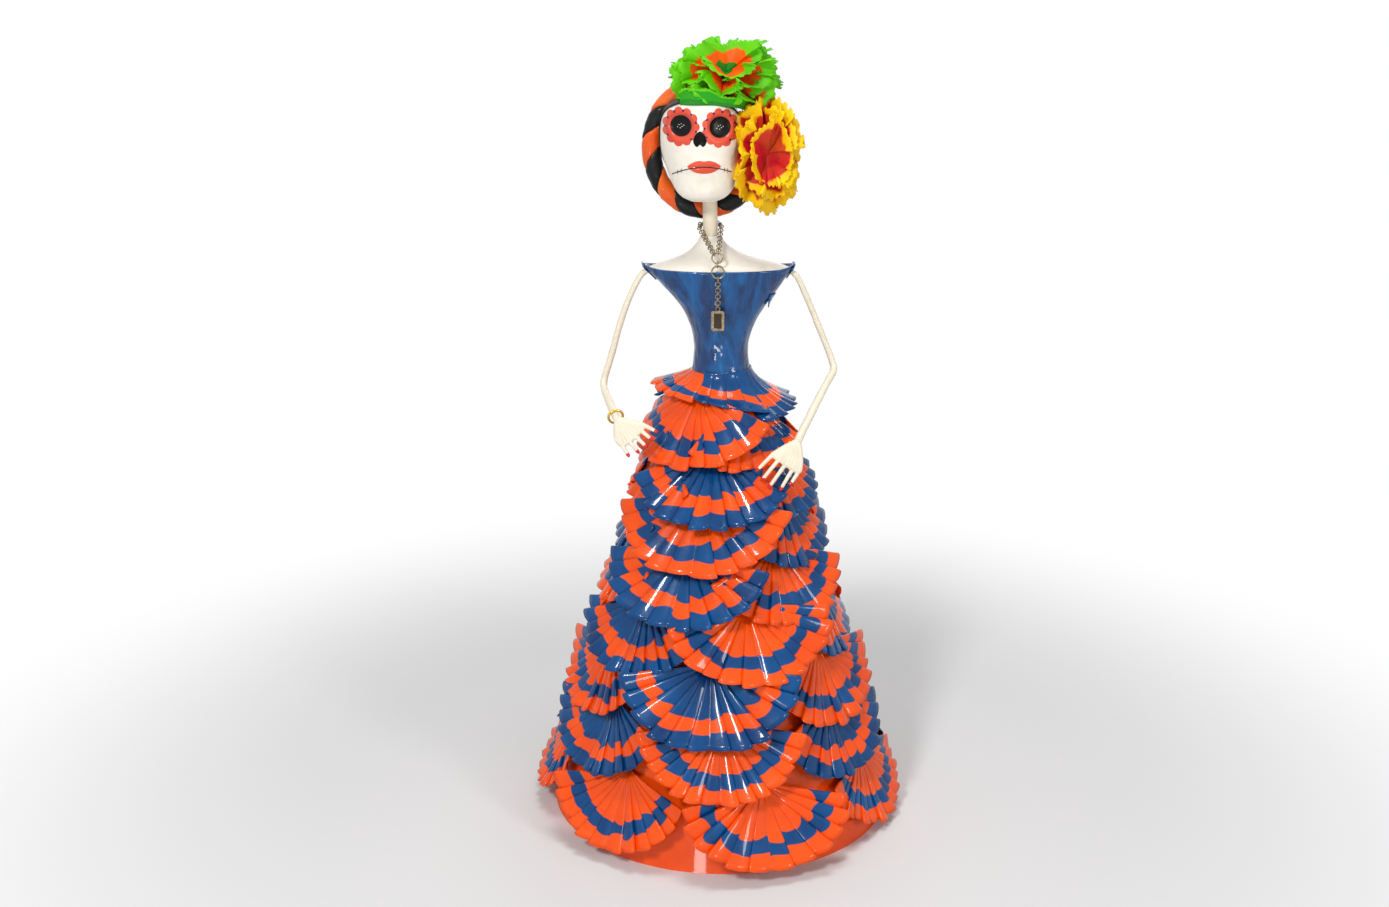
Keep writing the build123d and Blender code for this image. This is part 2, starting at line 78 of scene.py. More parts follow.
class Nodes:
    """Short way to write a node material around its Principled shader."""

    def __init__(self, name):
        self.material = bpy.data.materials.new(name)
        self.material.use_nodes = True
        self.tree = self.material.node_tree
        self.shader = self.tree.nodes["Principled BSDF"]

    def add(self, kind, **inputs):
        node = self.tree.nodes.new("ShaderNode" + kind)
        for key, value in inputs.items():
            self.link(value, node.inputs[key.replace("_", " ")])
        return node

    def link(self, value, socket):
        if isinstance(value, bpy.types.NodeSocket):
            self.tree.links.new(value, socket)
        else:
            socket.default_value = value

    def math(self, operation, *values):
        node = self.tree.nodes.new("ShaderNodeMath")
        node.operation = operation
        for value, socket in zip(values, node.inputs):
            self.link(value, socket)
        return node.outputs[0]

    def mix(self, share, first, second):
        """Colour between two colours or colour sockets."""
        node = self.tree.nodes.new("ShaderNodeMix")
        node.data_type = "RGBA"
        self.link(share, node.inputs["Factor"])
        for value, key in ((first, "A"), (second, "B")):
            socket = [s for s in node.inputs if s.name == key and s.type == "RGBA"][0]
            self.link((*value, 1.0) if isinstance(value, tuple) else value, socket)
        return [s for s in node.outputs if s.type == "RGBA"][0]

    def step(self, value, edge, softness):
        """0 below the edge and 1 above it, with a soft change between."""
        share = self.math("ADD", self.math("DIVIDE", self.math("SUBTRACT", value, edge), softness), 0.5)
        share.node.use_clamp = True
        return share

    def place(self):
        """Coordinates in object space."""
        return self.add("TexCoord").outputs["Object"]

    def paper_place(self):
        """UV x and y."""
        split = self.add("SeparateXYZ", Vector=self.add("UVMap").outputs["UV"])
        return split.outputs["X"], split.outputs["Y"]

    def noise(self, scale, detail=4.0, roughness=0.55, vector=None, distortion=0.0):
        """Factor of a noise texture in object space, or in the space of the given vector."""
        node = self.add("TexNoise", Scale=scale, Detail=detail, Roughness=roughness, Distortion=distortion,
                        Vector=vector or self.place())
        return node.outputs["Fac"]

    def bump(self, *layers):
        """Bump from (height socket, distance in metres) pairs."""
        normal = None
        for height, distance in layers:
            node = self.add("Bump", Strength=1.0, Distance=distance, Height=height)
            if normal is not None:
                self.link(normal, node.inputs["Normal"])
            normal = node.outputs["Normal"]
        self.link(normal, self.shader.inputs["Normal"])

    def set(self, **inputs):
        for key, value in inputs.items():
            self.link(value, self.shader.inputs[key.replace("_", " ")])
        return self


def glossy_paint(name, colour, shade, roughness=0.30, coat=0.35, wrinkle=0.5, grain=0.12):
    """Enamel brushed over paper: small wrinkles under a hard gloss."""
    n = Nodes(name)
    patch = n.math("SMOOTH_MAX", n.noise(28.0, 5.0), 0.0, 0.1)
    worn = n.step(patch, 0.52, 0.35)
    n.set(Base_Color=n.mix(worn, colour, shade), Roughness=roughness, Specular_IOR_Level=0.1,
          Coat_Weight=coat, Coat_Roughness=0.06)
    creases = n.noise(75.0, 6.0, 0.62, distortion=0.8)
    n.bump((creases, wrinkle * MM), (n.noise(900.0, 2.0), grain * MM))
    return n.material


STRIP_STRETCH = (1.0, 1.0, 0.30)    # the bodice's paper strips run up and down
STRIP_TILT = 0.25                   # and a little aslant, in radians


def bodice_enamel(name):
    """Blue enamel over long paper strips: dark runs of painted reflection, streaks of painted highlight, and
    creases down the waist.
    """
    n = Nodes(name)
    mapping = n.add("Mapping", Vector=n.place(), Scale=STRIP_STRETCH, Rotation=(0.0, STRIP_TILT, 0.0))
    strips = mapping.outputs["Vector"]
    runs = n.noise(60.0, 5.0, 0.6, strips, 1.2)
    # Painted reflection: dark runs along the strips, between a deep blue and a middle blue.
    light = n.mix(n.step(runs, 0.49, 0.14), (0.0, 0.032, 0.13), (0.0, 0.078, 0.26))
    # Painted highlight: pale blue streaks where the runs are highest.
    colour = n.mix(n.step(runs, 0.62, 0.06), light, (0.0, 0.12, 0.36))
    n.set(Base_Color=colour, Roughness=0.28, Specular_IOR_Level=0.15, Coat_Weight=0.6, Coat_Roughness=0.08)
    folds = n.noise(45.0, 4.0, 0.5, strips, 2.0)
    n.bump((folds, 5.0 * MM), (runs, 1.2 * MM))
    return n.material


def cream_paint(name, colour=CREAM, shade=TAN, amount=0.30):
    """Off-white distemper over wound paper, darker in random patches."""
    n = Nodes(name)
    dark_patches = n.step(n.noise(55.0, 6.0, 0.65), 0.63, 0.22)
    share = n.math("MULTIPLY", dark_patches, amount)
    n.set(Base_Color=n.mix(share, colour, shade), Roughness=0.42, Specular_IOR_Level=0.4)
    n.bump((n.noise(120.0, 6.0, 0.6), 0.35 * MM), (n.noise(1400.0, 2.0), 0.08 * MM))
    return n.material


BAND_START, BAND_END = 0.64, 0.815  # of a fan's reach
BAND_SOFTNESS = 0.012


def fan_paint(name, body, body_shade, band, band_shade):
    """Pleated fan: plain body, a wavy band of the other colour near the rim, then body colour again.

    UV x runs along the paper from pleat to pleat, and UV y from the gathered end to the rim.
    """
    n = Nodes(name)
    along, reach = n.paper_place()
    panel = n.math("FLOOR", along)
    across = n.math("SUBTRACT", n.math("FRACT", along), 0.5)

    def per_panel(shift, size):
        """Jump from pleat to pleat, because the paper was painted before it was folded."""
        random_value = n.add("TexWhiteNoise")
        random_value.noise_dimensions = "1D"
        n.link(n.math("ADD", panel, shift), random_value.inputs["W"])
        return n.math("MULTIPLY", n.math("SUBTRACT", random_value.outputs["Value"], 0.5), size)

    def wavy(shift, scale, size):
        """Slow wander of a painted edge along the paper."""
        wave = n.add("TexNoise")
        wave.noise_dimensions = "1D"
        n.link(n.math("MULTIPLY_ADD", along, scale, shift), wave.inputs["W"])
        n.link(1.0, wave.inputs["Scale"])
        n.link(1.0, wave.inputs["Detail"])
        return n.math("MULTIPLY", n.math("SUBTRACT", wave.outputs["Fac"], 0.5), size)

    jump = n.math("ADD", per_panel(0.3, 0.045), n.math("MULTIPLY", across, per_panel(7.7, 0.16)))
    near_edge = n.math("ADD", n.math("ADD", jump, wavy(0.0, 1.3, 0.20)), BAND_START)
    far_edge = n.math("ADD", n.math("ADD", jump, wavy(71.0, 1.3, 0.17)), BAND_END)
    inside = n.math("MULTIPLY", n.step(reach, near_edge, BAND_SOFTNESS),
                    n.math("SUBTRACT", 1.0, n.step(reach, far_edge, BAND_SOFTNESS)))
    tone = n.step(n.noise(30.0, 4.0), 0.55, 0.4)
    colour = n.mix(inside, n.mix(tone, body, body_shade), n.mix(tone, band, band_shade))
    n.set(Base_Color=colour, Roughness=0.30, Specular_IOR_Level=0.1, Coat_Weight=0.35, Coat_Roughness=0.06)
    n.bump((n.noise(85.0, 5.0, 0.6, distortion=0.6), 0.30 * MM), (n.noise(800.0, 2.0), 0.08 * MM))
    return n.material


def petal_paper(name, inner, middle, outer, inner_edge, outer_edge):
    """Crepe petal: colours in bands from the heart to the pinked edge, with fine lengthwise crinkles."""
    n = Nodes(name)
    wobble = n.math("MULTIPLY", n.math("SUBTRACT", n.noise(70.0, 3.0), 0.5), 0.45)
    reach = n.math("ADD", n.paper_place()[1], wobble)
    first = n.step(reach, inner_edge, 0.05)
    second = n.step(reach, outer_edge, 0.05)
    colour = n.mix(second, n.mix(first, inner, middle), outer)
    tone = n.step(n.noise(45.0, 3.0), 0.6, 0.35)
    deep = tuple(c * 0.5 for c in outer)
    colour = n.mix(n.math("MULTIPLY", tone, 0.25), colour, deep)
    n.set(Base_Color=colour, Roughness=0.5, Specular_IOR_Level=0.2)
    n.bump((n.noise(160.0, 5.0, 0.6), 0.45 * MM))
    return n.material


def metal(name, colour, dark, roughness, amount):
    """Plated or tarnished metal: the dark colour shows in small patches."""
    n = Nodes(name)
    tarnish = n.math("MULTIPLY", n.step(n.noise(700.0, 4.0), 0.5, 0.3), amount)
    n.set(Base_Color=n.mix(tarnish, colour, dark), Metallic=1.0, Roughness=roughness)
    n.bump((n.noise(1500.0, 3.0), 0.05 * MM))
    return n.material


orange_paint = glossy_paint("orange_enamel", ORANGE, DEEP_ORANGE)
blue_paint = glossy_paint("blue_enamel", BLUE, DEEP_BLUE, roughness=0.22, coat=0.5, wrinkle=2.2)
black_paint = glossy_paint("black_enamel", BLACK, (0.02, 0.02, 0.022), roughness=0.35, coat=0.12, wrinkle=0.9)
orange_strip = glossy_paint("orange_strip", (0.88, 0.16, 0.02), DEEP_ORANGE, wrinkle=0.6)
coral_paint = glossy_paint("coral_paint", CORAL, (0.62, 0.06, 0.03), roughness=0.4, coat=0.3, wrinkle=0.1)
nail_paint = glossy_paint("nail_paint", (0.72, 0.03, 0.02), (0.6, 0.02, 0.02), roughness=0.2, wrinkle=0.05)
socket_paint = glossy_paint("socket_black", (0.002, 0.002, 0.002), (0.008, 0.008, 0.008), coat=0.05, wrinkle=0.6)
cream = cream_paint("cream_paint")
arm_cream = cream_paint("arm_cream_paint", (0.84, 0.76, 0.60), TAN, 0.35)
neck_cream = cream_paint("neck_cream_paint", (0.78, 0.69, 0.54), TAN, 0.6)
orange_fan = fan_paint("orange_fan_enamel", ORANGE, DEEP_ORANGE, BLUE, DEEP_BLUE)
blue_fan = fan_paint("blue_fan_enamel", BLUE, DEEP_BLUE, ORANGE, DEEP_ORANGE)
green_petals = petal_paper("green_petal_paper", DARK_GREEN, ORANGE, GREEN, 0.30, 0.66)
forehead_green = petal_paper("forehead_petal_paper", (0.01, 0.22, 0.01), (0.02, 0.36, 0.01), GREEN, 0.35, 0.85)
yellow_petals = petal_paper("yellow_petal_paper", CRIMSON, (0.62, 0.01, 0.02), YELLOW, 0.40, 0.74)
gold = metal("gold_plate", GOLD, (0.45, 0.25, 0.03), 0.22, 0.4)
bronze = metal("aged_bronze", BRONZE, (0.06, 0.045, 0.03), 0.34, 0.7)
bodice_paint = bodice_enamel("bodice_enamel")
stone = glossy_paint("dark_inset_enamel", (0.02, 0.014, 0.010), (0.06, 0.035, 0.02), roughness=0.15, wrinkle=0.1)
wood = cream_paint("bare_wood", (0.50, 0.33, 0.17), (0.25, 0.14, 0.06), 0.6)
card = cream_paint("grey_card", (0.33, 0.24, 0.15), (0.20, 0.13, 0.08), 0.6)

SLOT_MATERIALS = {
    "orange_painted_paper": orange_paint, "blue_painted_paper": blue_paint, "black_painted_paper": black_paint,
    "cream_painted_paper": cream, "orange_fan_paper": orange_paint, "blue_fan_paper": blue_paint,
    "green_petal_paper": green_petals, "yellow_petal_paper": yellow_petals, "crimson_petal_paper": yellow_petals,
    "gold_metal": gold, "aged_brass": bronze, "steel_wire": bronze, "bare_wood": wood, "card": card,
    "dark_inset": stone,
}
NODE_SLOT = {part["node"]: part["material_slot"] for part in frame["record"]["subparts"]}
for node_name, node in frame["nodes"].items():
    node.data.materials.clear()
    node.data.materials.append(SLOT_MATERIALS[NODE_SLOT[node_name]])
frame["nodes"]["neck"].data.materials[0] = neck_cream


# ---- mesh helpers

def piece(name, shape, material, slot="cream_painted_paper"):
    """New mesh object, riding on the figure, from vertices in millimetres, faces and, if any, UVs."""
    vertices, faces, uvs = (*shape, None)[:3]
    mesh = bpy.data.meshes.new(name)
    mesh.from_pydata([Vector(v) * MM for v in vertices], [], faces)
    if uvs:
        layer = mesh.uv_layers.new(name="UVMap")
        for loop in mesh.loops:
            layer.data[loop.index].uv = uvs[loop.vertex_index]
    mesh.polygons.foreach_set("use_smooth", [True] * len(mesh.polygons))
    mesh.materials.append(material)
    mesh.validate()
    thing = bpy.data.objects.new(name, mesh)
    bpy.context.scene.collection.objects.link(thing)
    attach(thing, FIGURE)
    return thing


def grid_faces(rows, columns, closed=False):
    """Quads over a grid of points stored row by row."""
    faces = []
    last = columns if closed else columns - 1
    for i in range(rows - 1):
        for j in range(last):
            k = (j + 1) % columns
            faces.append((i * columns + j, i * columns + k, (i + 1) * columns + k, (i + 1) * columns + j))
    return faces


def closed_tube_faces(rows, columns):
    """Quads round a tube of rows of points, and a face over each end."""
    faces = grid_faces(rows, columns, closed=True)
    faces.append(tuple(reversed(range(columns))))
    faces.append(tuple(range((rows - 1) * columns, rows * columns)))
    return faces


def thicken(thing, thickness, offset=-1.0):
    """Give a sheet the thickness of its paper, in millimetres."""
    modifier = thing.modifiers.new("paper", "SOLIDIFY")
    modifier.thickness = thickness * MM
    modifier.offset = offset
    modifier.use_even_offset = False


def blend_table(table, height):
    """Row of a table at a height, which is its first column, with smooth change between the rows."""
    if height <= table[0][0]:
        return table[0][1:]
    for before, low, high, after in zip([table[0]] + table, table, table[1:], table[2:] + [table[-1]]):
        if height <= high[0]:
            span = high[0] - low[0]
            t = (height - low[0]) / span
            values = []
            for a, b, c, d in zip(before[1:], low[1:], high[1:], after[1:]):
                slope_low = (c - a) / (high[0] - before[0]) * span
                slope_high = (d - b) / (after[0] - low[0]) * span
                values.append((2 * t**3 - 3 * t**2 + 1) * b + (t**3 - 2 * t**2 + t) * slope_low
                              + (-2 * t**3 + 3 * t**2) * c + (t**3 - t**2) * slope_high)
            return tuple(values)
    return table[-1][1:]


def tube(points, radii, sides=20, lump=0.0, seed=0.0):
    """Closed round tube through smooth points; the radii are spread evenly along it."""
    vertices = []
    side = None
    count = len(points)
    for index, (point, radius) in enumerate(zip(points, spread_values(radii, count))):
        ahead = points[min(index + 1, count - 1)] - points[max(index - 1, 0)]
        ahead.normalize()
        if side is None:
            side = ahead.cross(Vector((0.3, 0.9, 0.2))).normalized()
        side = (side - ahead * side.dot(ahead)).normalized()
        other = ahead.cross(side)
        for step in range(sides):
            angle = 2 * pi * step / sides
            out = side * cos(angle) + other * sin(angle)
            bumpy = 1.0 + lump * noise.noise((point + out * radius) * 0.12 + Vector((seed, 0, 0)))
            vertices.append(point + out * radius * bumpy)
    return vertices, closed_tube_faces(count, sides)


def smooth_path(points, per_leg=8):
    """Points along a curve through the given points."""
    points = [Vector(p) for p in points]
    padded = [points[0] * 2 - points[1]] + points + [points[-1] * 2 - points[-2]]
    path = []
    for a, b, c, d in zip(padded, padded[1:], padded[2:], padded[3:]):
        for step in range(per_leg):
            t = step / per_leg
            path.append(0.5 * ((2 * b) + (c - a) * t + (2 * a - 5 * b + 4 * c - d) * t**2
                               + (3 * b - a - 3 * c + d) * t**3))
    return path + [points[-1]]


def spread_values(values, count):
    """Values spread evenly over a longer list."""
    result = []
    for index in range(count):
        place = index / (count - 1) * (len(values) - 1)
        low = min(int(place), len(values) - 2)
        result.append(values[low] + (values[low + 1] - values[low]) * (place - low))
    return result


def merge(parts):
    """One shape from several."""
    vertices, faces, uvs = [], [], []
    for part in parts:
        start = len(vertices)
        vertices += part[0]
        faces += [tuple(start + index for index in face) for face in part[1]]
        uvs += part[2] if len(part) > 2 else []
    return vertices, faces, uvs


# ---- skirt fans

skirt_box = [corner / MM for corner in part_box("skirt_cone")]
BASE_RADIUS = skirt_box[1].x
SKIRT_TAPER = 0.3246
SLOPE = atan(SKIRT_TAPER)
CONE_PEAK = BASE_RADIUS / SKIRT_TAPER
FAN_REACH = 61.5
PAPER = 0.6

# Height of the gathered ends, half spread in degrees, how flat the fans lie, and the fans' colours
# going round from the one at the given turn.
TIERS = [
    (344.0, 66.0, 0.30, -34.0, "OOBOBB"),
    (305.0, 59.0, 0.30, -20.0, "BBOBOO"),
    (270.0, 74.0, 0.22, -17.0, "OBOBB"),
    (231.0, 74.0, 0.18, -23.0, "BOBOBO"),
    (191.0, 74.0, 0.15, -47.0, "BOBOBO"),
    (150.0, 76.0, 0.13, -6.0, "BOBOBO"),
    (110.0, 75.0, 0.10, -1.0, "OBOBOBB"),
    (64.0, 72.0, 0.08, 14.0, "OOBOBOO"),
]
FAN_PLEATS = 6                  # on each side of the middle
FAN_ROWS = 16
FOLD_DEPTH = 7.6
FAN_LIFT = (10.5, 12.5)         # how far the rims stand off the cone
TOP_FAN_LIFT = 3.5              # more for the fan that lies on its neighbours
TOP_FAN_SPREAD = 4.0
FAN_LEAN = 4.5                  # how far a fan's hidden side dips under the fan beside it
FAN_ROLL = 5.0                  # hung askew by up to this many degrees
RAGGED = 0.018
LEFT_CLOSENESS, RIGHT_CLOSENESS, BACK_CLOSENESS = 0.52, 0.22, 0.14  # fans lie closer on those sides
PANEL_STRIDE = 40.0             # keeps the panel numbers of different fans apart
BACK_LIMIT = 96.0
# For each tier: how far it hangs round from where it is glued, which fan lies over both of its
# neighbours, and how widely the others are spread against the given half spread.
SWAY = [-6.0, 10.0, 0.0, 0.0, 0.0, 0.0, 0.0, 0.0]
ON_TOP = [0, 0, 0, 0, 1, 0, 0, 0]
SIDE_SPREAD = [0.62, 0.92, 0.86, 0.92, 0.96, 1.0, 1.0, 1.0]

# One knife pleat: place across the pleat and height, from the hidden valley over the panel and
# round the fold.
KNIFE = [(-0.22, 0.0), (-0.10, 0.22), (0.12, 0.52), (0.42, 0.80), (0.72, 0.96), (0.93, 1.0),
         (1.0, 0.90), (1.0, 0.62), (0.92, 0.32), (0.82, 0.06)]


def knife_profile(pleats, rng):
    """Places, heights and panel coordinates across a whole fan, folded away from its middle both ways."""
    half = []
    edge = 0.0
    for index in range(pleats):
        width = rng.uniform(0.78, 1.22)
        depth = rng.uniform(0.6, 1.2)
        for step, (place, height) in enumerate(KNIFE):
            if index == 0 and place < 0.1:
                continue
            half.append((edge + place * width, 0.2 + height * depth, index + step / len(KNIFE)))
        edge += width
    half = [(place / edge, height, panel) for place, height, panel in half[:-2]]
    whole = [(-place, height, -panel - 1e-4) for place, height, panel in reversed(half)]
    return whole + [(0.0, 0.42, 0.0)] + half


def skirt_point(fan_height, fan_turn, reach, spread, lift, flatness):
    """Point of a fan, between one wrapped round the cone and one laid flat against it."""
    start = (CONE_PEAK - fan_height) / cos(SLOPE)
    sideways, down = reach * sin(spread), start + reach * cos(spread)
    from_peak = hypot(sideways, down)
    turn = radians(fan_turn) + atan2(sideways, down) / sin(SLOPE)
    radius = from_peak * sin(SLOPE) + lift * cos(SLOPE)
    wrapped = Vector((radius * sin(turn), -radius * cos(turn),
                      CONE_PEAK - from_peak * cos(SLOPE) + lift * sin(SLOPE)))
    middle = radians(fan_turn)
    out = Vector((sin(middle), -cos(middle), 0))
    across = Vector((cos(middle), sin(middle), 0))
    flat_radius = down * sin(SLOPE) + lift * cos(SLOPE)
    flat = out * flat_radius + across * sideways
    flat.z = CONE_PEAK - down * cos(SLOPE) + lift * sin(SLOPE)
    return wrapped.lerp(flat, flatness)


def fan_mesh(tier, index, height, half_spread, flatness, turn):
    """Vertices, faces and UVs of one pleated fan, from its gathered end to its rim."""
    rng = random.Random(1000 * tier + index)
    pleats = FAN_PLEATS + (1 if tier > 4 and (tier + index) % 2 else 0)
    profile = knife_profile(pleats, rng)
    reach = FAN_REACH * rng.uniform(0.96, 1.03)
    lift = rng.uniform(*FAN_LIFT)
    front_turn = TIERS[tier - 1][3] + ON_TOP[tier - 1] * 360 / len(TIERS[tier - 1][4])
    beside = (turn - front_turn + 180) % 360 - 180
    lean = 0.0
    if index == ON_TOP[tier - 1]:
        lift += TOP_FAN_LIFT
        half_spread += TOP_FAN_SPREAD
    else:
        lean = (1 if beside > 0 else -1) * FAN_LEAN / FAN_REACH
        half_spread *= SIDE_SPREAD[tier - 1]
    roll = radians(rng.uniform(-FAN_ROLL, FAN_ROLL))
    aside, behind = sin(radians(turn)), max(0.0, -cos(radians(turn)))
    closeness = 1.0 - (LEFT_CLOSENESS if aside > 0 else RIGHT_CLOSENESS) * aside**2 - BACK_CLOSENESS * behind
    vertices, uvs = [], []
    ragged = [rng.uniform(-RAGGED, RAGGED) for _ in range(2 * pleats + 2)]
    droop_seed = Vector((tier * 7.1, index * 3.3, 0))
    for row in range(FAN_ROWS):
        t = (row / (FAN_ROWS - 1)) ** 0.85
        for place, fold, panel in profile:
            spread = place * radians(half_spread) + roll
            edge = reach * (1.0 - 0.09 * abs(place) ** 3 + ragged[int(panel + pleats)] + 0.05 * (fold - 0.7))
            rho = max(edge * t, 0.6)
            off = 1.0 + lift * t**0.8 + fold * FOLD_DEPTH * t**1.1 + lean * rho * sin(spread) + 2.5 * t**7
            off += 3.0 * t * t * (0.5 + 0.5 * abs(place)) * noise.noise(droop_seed + Vector((place * 2.6, 0, 0)))
            off += 1.2 * t * noise.noise(droop_seed + Vector((place * 9.0, t * 1.5, 4.0)))
            off *= closeness
            vertices.append(skirt_point(height, turn + SWAY[tier - 1], rho, spread, max(off, 0.8), flatness))
            uvs.append((panel + PANEL_STRIDE * (tier * 9 + index) + PANEL_STRIDE / 2, t))
    return vertices, grid_faces(FAN_ROWS, len(profile)), uvs


FAN_PAINTS = {"O": (orange_fan, "orange_fan_paper"), "B": (blue_fan, "blue_fan_paper")}


def side_name(turn):
    """Name of the side of the figure that a turn in degrees points to."""
    for limit, name in ((-70, "far_left"), (-30, "front_left"), (30, "front"), (60, "front_right")):
        if turn <= limit:
            return name
    return "far_right"


def make_fans():
    """All the tiers: a piece for each fan in front, and two for those behind."""
    back = {"O": [], "B": []}
    for tier, (height, half_spread, flatness, first_turn, colours) in enumerate(TIERS, start=1):
        for index, colour in enumerate(colours):
            turn = (first_turn + index * 360 / len(colours) + 180) % 360 - 180
            shape = fan_mesh(tier, index, height, half_spread, flatness, turn)
            if abs(turn) > BACK_LIMIT or (turn > 80 and tier == 1):
                back[colour].append(shape)
                continue
            node_name = f"fan_tier{tier}_{side_name(turn)}"
            fan = piece(f"{node_name}_paper", shape, *FAN_PAINTS[colour])
            thicken(fan, PAPER)
            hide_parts(node_name)
    for colour, node_name in (("O", "back_fans_orange"), ("B", "back_fans_blue")):
        fan = piece(f"{node_name}_paper", merge(back[colour]), *FAN_PAINTS[colour])
        thicken(fan, PAPER)
        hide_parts(node_name)


make_fans()


# ---- peplum

WAIST_RADIUS = 22.3
WAIST_SHIFT = -0.9

# Node, colour, first and last turn, pleats, hem height and radius at both ends, seed, fold depth,
# top, outward bulge, and the share of a fan's reach at which the colours start.
PEPLUM = [
    ("peplum_front", "B", -36, 46, 4, (340, 36), (329, 45), 3, 4.5, 357, 1.7, 0.25),
    ("peplum_right", "B", 38, 112, 6, (323, 46), (332, 51), 5, 8.5, 357, 1.7, 0.15),
    ("peplum_left", "O", -108, -34, 4, (344, 50), (337, 37), 8, 6.5, 355, 1.1, 0.20),
    ("peplum_back", "B", 108, 254, 11, (330, 50), (330, 50), 11, 6.0, 357, 1.6, 0.25),
]


def pleated_skirt(node_name, colour, first, last, pleats, hem_start, hem_end, seed, depth, top, bulge,
                  band_start):
    """Knife pleats from the waist out to a hem."""
    rng = random.Random(seed)
    profile, edge = [], 0.0
    for index in range(pleats):
        width = rng.uniform(0.8, 1.2)
        high = rng.uniform(0.7, 1.2)
        for step, (place, height) in enumerate(KNIFE):
            profile.append([edge + max(place, -0.2 if index else 0.0) * width, height * high,
                            index + step / len(KNIFE)])
        edge += width
    vertices, uvs = [], []
    for row in range(FAN_ROWS):
        t = row / (FAN_ROWS - 1)
        for place, fold, panel in profile:
            share = place / edge
            hem_height, hem_radius = (a + (b - a) * share for a, b in zip(hem_start, hem_end))
            turn = radians(first + (last - first) * share)
            radius = WAIST_RADIUS + (hem_radius - WAIST_RADIUS) * t**bulge + fold * depth * t
            radius += 2.5 * t * noise.noise(Vector((share * 4, t * 2, seed)))
            height = top + (hem_height - top) * t**0.85
            vertices.append(Vector((radius * sin(turn) + WAIST_SHIFT, -radius * cos(turn), height)))
            uvs.append((panel + PANEL_STRIDE * seed, band_start + (1 - band_start) * t))
    skirt = piece(f"{node_name}_paper", (vertices, grid_faces(FAN_ROWS, len(profile)), uvs), *FAN_PAINTS[colour])
    thicken(skirt, PAPER)
    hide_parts(node_name)


for peplum_row in PEPLUM:
    pleated_skirt(*peplum_row)


# ---- bodice

# Height, half width, half depth, sideways shift.
BODICE = [
    (343.0, 27.5, 27.5, 0.0), (352.0, 23.2, 22.4, -0.6), (362.0, 21.2, 20.0, -1.2), (376.0, 21.0, 19.6, -1.2),
    (390.0, 24.6, 20.6, -0.6), (405.0, 32.5, 22.0, 0.0), (420.0, 45.0, 23.6, -1.0), (433.0, 55.3, 25.0, -3.3),
]
BODICE_TOP = BODICE[-1][0]
COLLAR = 9.0                    # height of the part whose corners turn up at the shoulders

# Loose ends of the paper strips: turn from the figure's left, bottom, top, width and how far they stand off.
# Below zero the upper end is the free one.
BODICE_TABS = [
    (14.0, 404.0, 414.0, 30.0, 3.6), (2.0, 425.0, 436.5, 26.0, -2.0), (178.0, 424.0, 437.0, 24.0, -2.2),
]


def make_bodice():
    """Blue shell from the waist to the neckline, wrinkled by hand, with its shoulder corners turned up."""
    rows, columns = 60, 120
    vertices = []
    low = BODICE[0][0]
    for i in range(rows):
        height = low + (BODICE_TOP - low) * i / (rows - 1)
        half_width, half_depth, shift = blend_table(BODICE, height)
        for j in range(columns):
            angle = 2 * pi * j / columns
            place = Vector((cos(angle), sin(angle), height * 0.03))
            wrinkle = 0.8 * noise.noise(place * 1.6) + 0.35 * noise.noise(place * 5.0)
            corner = abs(cos(angle)) ** 12
            up = max(0.0, (height - (BODICE_TOP - COLLAR)) / COLLAR)
            rim = 1.0 + 0.035 * corner * up
            lift = 2.2 * corner * up**2
            vertices.append(Vector((shift + (half_width + wrinkle) * rim * cos(angle),
                                    (half_depth + wrinkle) * sin(angle), height + lift)))
    bodice = piece("bodice_paper", (vertices, grid_faces(rows, columns, closed=True)), bodice_paint,
                   "blue_painted_paper")
    thicken(bodice, 1.3)
    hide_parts("bodice")


def make_bodice_tabs():
    """Strips that have come loose from the bodice at one end."""
    rows, columns = 9, 7
    tabs = []
    for turn, low, high, width, lean in BODICE_TABS:
        points = []
        for step in range(rows):
            for side in range(columns):
                t, s = step / (rows - 1), side / (columns - 1)
                height = low + (high - low) * t
                half_width, half_depth, shift = blend_table(BODICE, min(height, BODICE_TOP))
                angle = radians(turn + width * (s - 0.5) * (0.35 + 0.65 * t))
                free = t if lean < 0 else 1 - t
                grow = 0.7 + abs(lean) * free**1.5 * (0.5 + 0.5 * s)
                points.append(Vector((shift + (half_width + grow) * cos(angle),
                                      -(half_depth + grow) * sin(angle), height)))
        tabs.append((points, grid_faces(rows, columns)))
    flaps = piece("bodice_tabs", merge(tabs), bodice_paint, "blue_painted_paper")
    thicken(flaps, 0.7, 0.0)


make_bodice()
make_bodice_tabs()


# ---- head

HEAD_SHIFT = -17.2
# Height, half width, half depth, forward shift.
SKULL = [
    (484.5, 9.5, 6.0, 16.0), (487.0, 15.2, 10.0, 15.5), (491.0, 19.8, 15.0, 12.6), (498.0, 23.4, 19.5, 9.2),
    (508.0, 26.3, 25.0, 5.0), (520.0, 28.7, 28.6, 2.3), (530.0, 29.4, 29.8, 1.4), (541.0, 28.6, 29.4, 1.0),
    (549.0, 25.6, 27.0, 1.0), (554.5, 20.0, 22.5, 1.0), (557.5, 12.0, 15.0, 1.0), (558.6, 4.0, 5.0, 1.0),
]
EYES = [(-31.2, 539.2), (-3.2, 538.2)]
EYE_RADIUS = 7.7
EYE_PETALS = 11
PETALS_DOWN = 0.6               # how far the ring of petals hangs below the socket's middle
DOT_RING = 11.2
